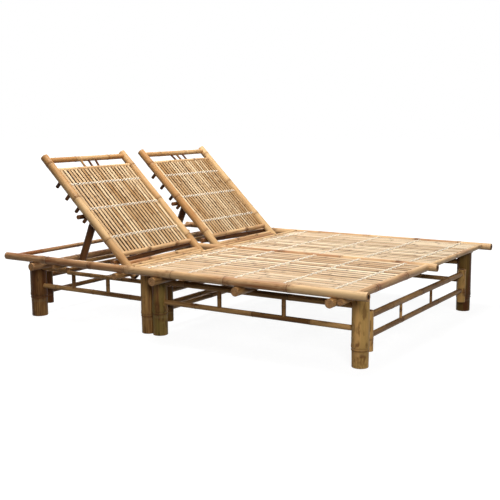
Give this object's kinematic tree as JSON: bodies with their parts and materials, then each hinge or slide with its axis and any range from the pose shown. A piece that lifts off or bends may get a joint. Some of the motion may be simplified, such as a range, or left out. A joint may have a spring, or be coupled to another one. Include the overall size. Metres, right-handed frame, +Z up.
{
  "type": "sun lounger",
  "caption": "Low double bamboo sun lounger with a slatted deck and two adjustable backrests on props.",
  "frame": {"origin": "on the floor, under the middle of the bounding box", "axes": "+X from head to foot, +Z up, -Y is the side nearest the viewer in the picture"},
  "size_m": [2, 1.56, 0.8318],
  "materials": {
    "pole_bamboo": "natural bamboo, light varnish",
    "leg_bamboo": "natural bamboo, brown to olive",
    "split_bamboo": "pale split bamboo",
    "dark_bamboo": "dark stained bamboo",
    "twine": "white cotton twine"
  },
  "bodies": {
    "base": {"rail_near": "pole_bamboo", "rail_centre": "pole_bamboo", "rail_far": "pole_bamboo", "cross_pole_head": "pole_bamboo", "cross_pole_middle": "pole_bamboo", "cross_pole_deck": "pole_bamboo", "cross_pole_foot": "pole_bamboo", "hinge_axle": "pole_bamboo", "prop_pivot_pole": "pole_bamboo", "leg_head_near": "leg_bamboo", "leg_middle_near": "leg_bamboo", "leg_deck_near": "leg_bamboo", "leg_foot_near": "leg_bamboo", "leg_head_far": "leg_bamboo", "leg_middle_far": "leg_bamboo", "leg_deck_far": "leg_bamboo", "leg_foot_far": "leg_bamboo", "stub_posts": "leg_bamboo", "end_stretchers": "pole_bamboo", "spindles_end": "pole_bamboo", "stretchers_head_thick": "pole_bamboo", "stretchers_head_thin": "pole_bamboo", "stretchers_head_lower": "pole_bamboo", "stretchers_foot_upper": "pole_bamboo", "stretchers_foot_lower": "pole_bamboo", "spindles_side": "pole_bamboo", "end_blocks": "pole_bamboo", "crossbars_head": "pole_bamboo", "crossbars_foot": "pole_bamboo", "deck_edge_poles": "pole_bamboo", "deck_strips_near": "split_bamboo", "deck_strips_far": "split_bamboo", "deck_rods": "pole_bamboo", "deck_twine": "twine"},
    "backrest_near": {"backrest_near_side_rails": "pole_bamboo", "backrest_near_top_bar": "pole_bamboo", "backrest_near_second_bar": "pole_bamboo", "backrest_near_lower_bars": "pole_bamboo", "backrest_near_slats": "split_bamboo", "backrest_near_backing_rods": "pole_bamboo", "backrest_near_twine": "twine", "backrest_near_fan_sticks": "pole_bamboo", "backrest_near_pegs": "dark_bamboo", "backrest_near_support_rod": "dark_bamboo", "backrest_near_rear_bar": "dark_bamboo"},
    "backrest_far": {"backrest_far_side_rails": "pole_bamboo", "backrest_far_top_bar": "pole_bamboo", "backrest_far_second_bar": "pole_bamboo", "backrest_far_lower_bars": "pole_bamboo", "backrest_far_slats": "split_bamboo", "backrest_far_backing_rods": "pole_bamboo", "backrest_far_twine": "twine", "backrest_far_fan_sticks": "pole_bamboo", "backrest_far_pegs": "dark_bamboo", "backrest_far_support_rod": "dark_bamboo", "backrest_far_rear_bar": "dark_bamboo"},
    "prop_near": {"prop_near_legs": "dark_bamboo", "prop_near_cross_stick": "dark_bamboo"},
    "prop_far": {"prop_far_legs": "dark_bamboo", "prop_far_cross_stick": "dark_bamboo"}
  },
  "joints": [
    {"name": "backrest_near_tilt", "type": "hinge", "parent": "base", "child": "backrest_near", "pos_m": [-0.26, 0, 0.2895], "axis": [0, -1, 0], "range_deg": [0, 32]},
    {"name": "prop_near_swing", "type": "hinge", "parent": "base", "child": "prop_near", "pos_m": [-0.663, 0, 0.294], "axis": [0, -1, 0], "range_deg": [0, 99.4]},
    {"name": "backrest_far_tilt", "type": "hinge", "parent": "base", "child": "backrest_far", "pos_m": [-0.26, 0, 0.2895], "axis": [0, -1, 0], "range_deg": [0, 32]},
    {"name": "prop_far_swing", "type": "hinge", "parent": "base", "child": "prop_far", "pos_m": [-0.663, 0, 0.294], "axis": [0, -1, 0], "range_deg": [0, 99.4]}
  ],
  "couplings": [
    {"joint": "prop_near_swing", "follows": "backrest_near_tilt", "ratio": 3.1},
    {"joint": "prop_far_swing", "follows": "backrest_far_tilt", "ratio": 3.1}
  ]
}
